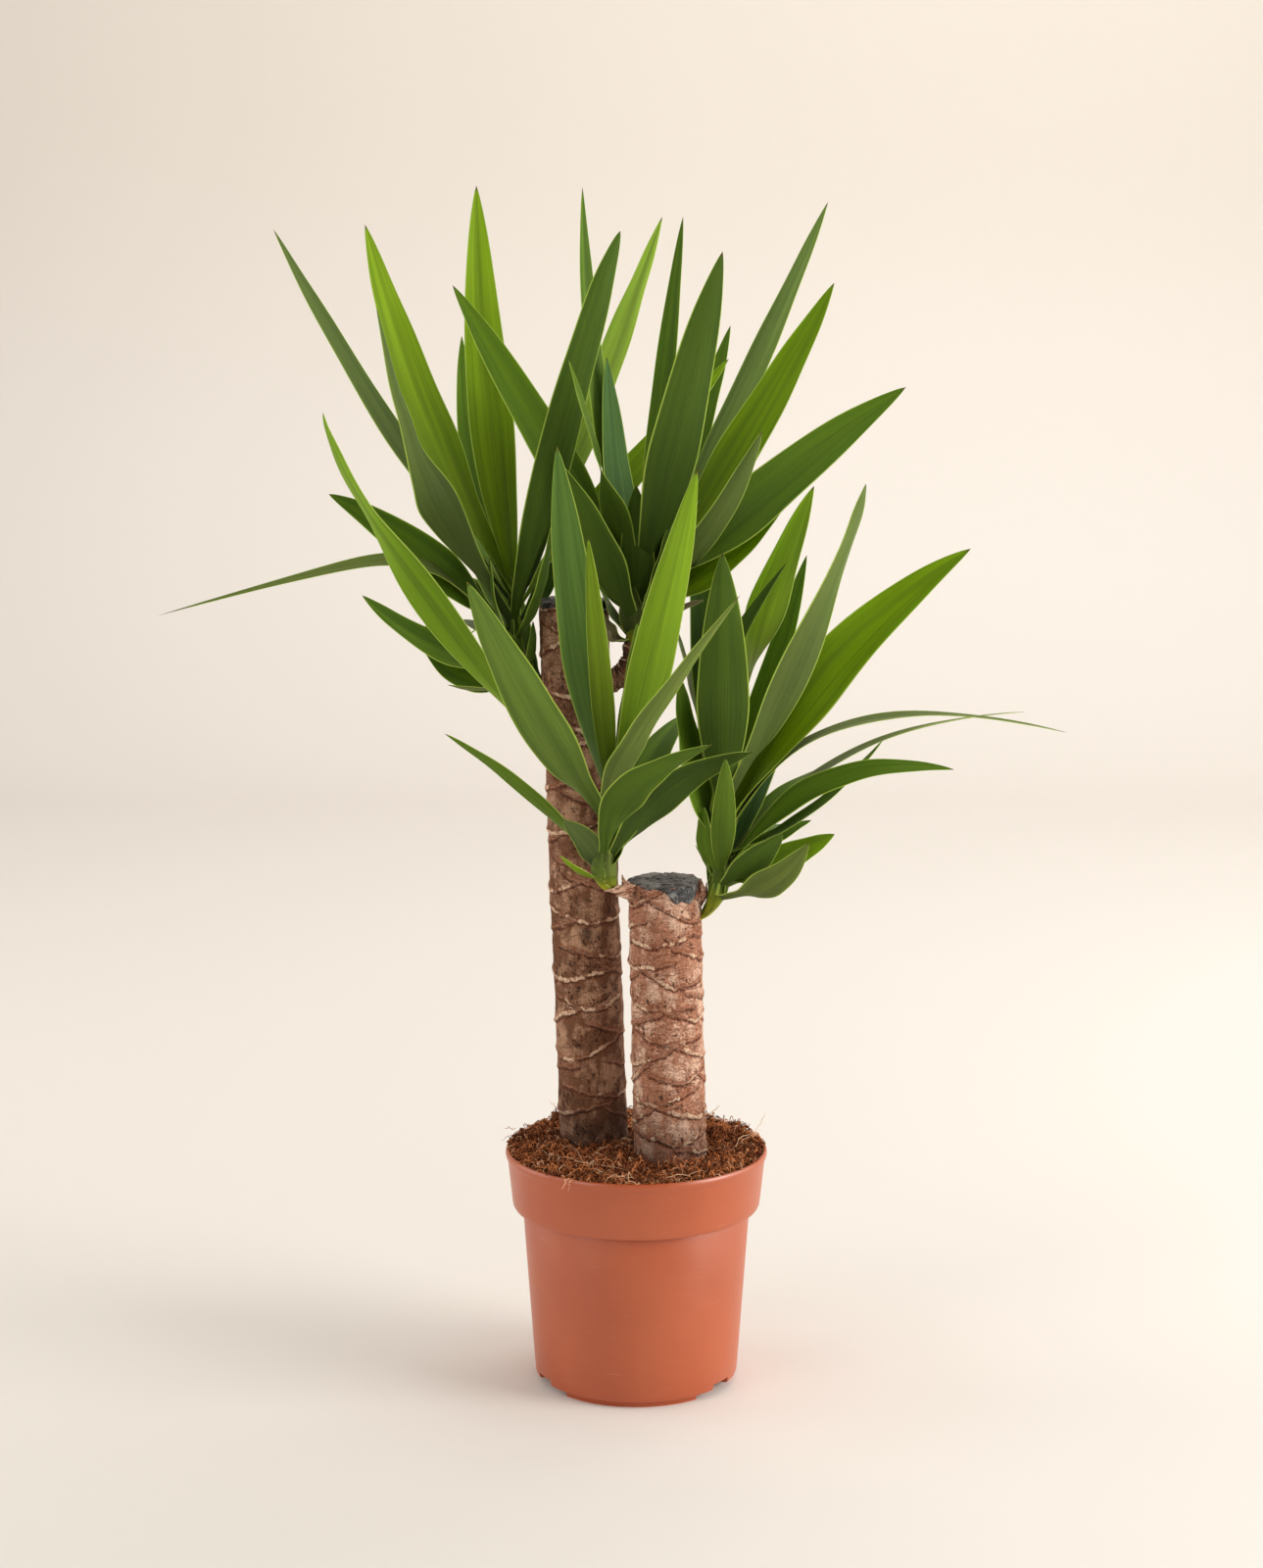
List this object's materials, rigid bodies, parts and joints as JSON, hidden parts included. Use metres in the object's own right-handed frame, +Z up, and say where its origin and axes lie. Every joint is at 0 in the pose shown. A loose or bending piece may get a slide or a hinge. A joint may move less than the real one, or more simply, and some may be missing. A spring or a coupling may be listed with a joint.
{
  "type": "potted yucca",
  "caption": "Houseplant of sawn woody canes with heads of long pointed leaves, in a flared plastic nursery pot filled with coir.",
  "frame": {"origin": "centre of the pot's underside, at the level it stands on", "axes": "+Z up, +X to the viewer's right in the front view, +Y away from the viewer"},
  "size_m": [0.7044, 0.3213, 0.9542],
  "materials": {
    "pot_plastic": "satin terracotta",
    "coir": "rough, fibrous",
    "grey_bark": "rough, cracked, with pale leaf scars",
    "red_bark": "rough, cracked, with pale leaf scars",
    "wax": "satin black",
    "leaf": "satin, finely ribbed"
  },
  "bodies": {
    "root": {"pot": "pot_plastic", "soil": "coir", "tall_cane": "grey_bark", "short_cane": "red_bark", "tall_cane_wax": "wax", "short_cane_wax": "wax", "tall_left_head": "leaf", "tall_right_head": "leaf", "short_left_head": "leaf", "short_right_head": "leaf"}
  },
  "joints": []
}
